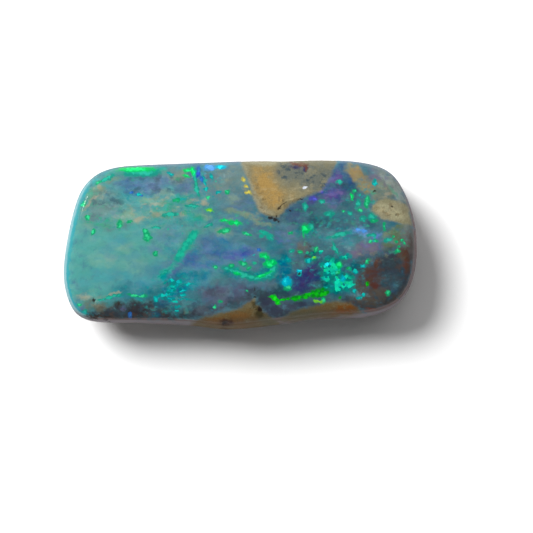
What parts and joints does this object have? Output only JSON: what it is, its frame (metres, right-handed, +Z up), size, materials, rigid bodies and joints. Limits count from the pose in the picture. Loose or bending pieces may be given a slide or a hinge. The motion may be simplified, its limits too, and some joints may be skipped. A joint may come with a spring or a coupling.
{
  "type": "boulder opal",
  "caption": "Polished freeform boulder opal: a low rounded slab with a slightly domed face of blue-green opal over brown ironstone matrix, lying on a flat ground back.",
  "frame": {"origin": "under the middle of the stone, on the surface that its ground back rests on", "axes": "+X along the stone's length, +Y across it, +Z up out of the opal face"},
  "size_m": [0.022, 0.0106, 0.0044],
  "materials": {
    "opal": "polished"
  },
  "bodies": {
    "root": {"boulder_opal": "opal"}
  },
  "joints": []
}
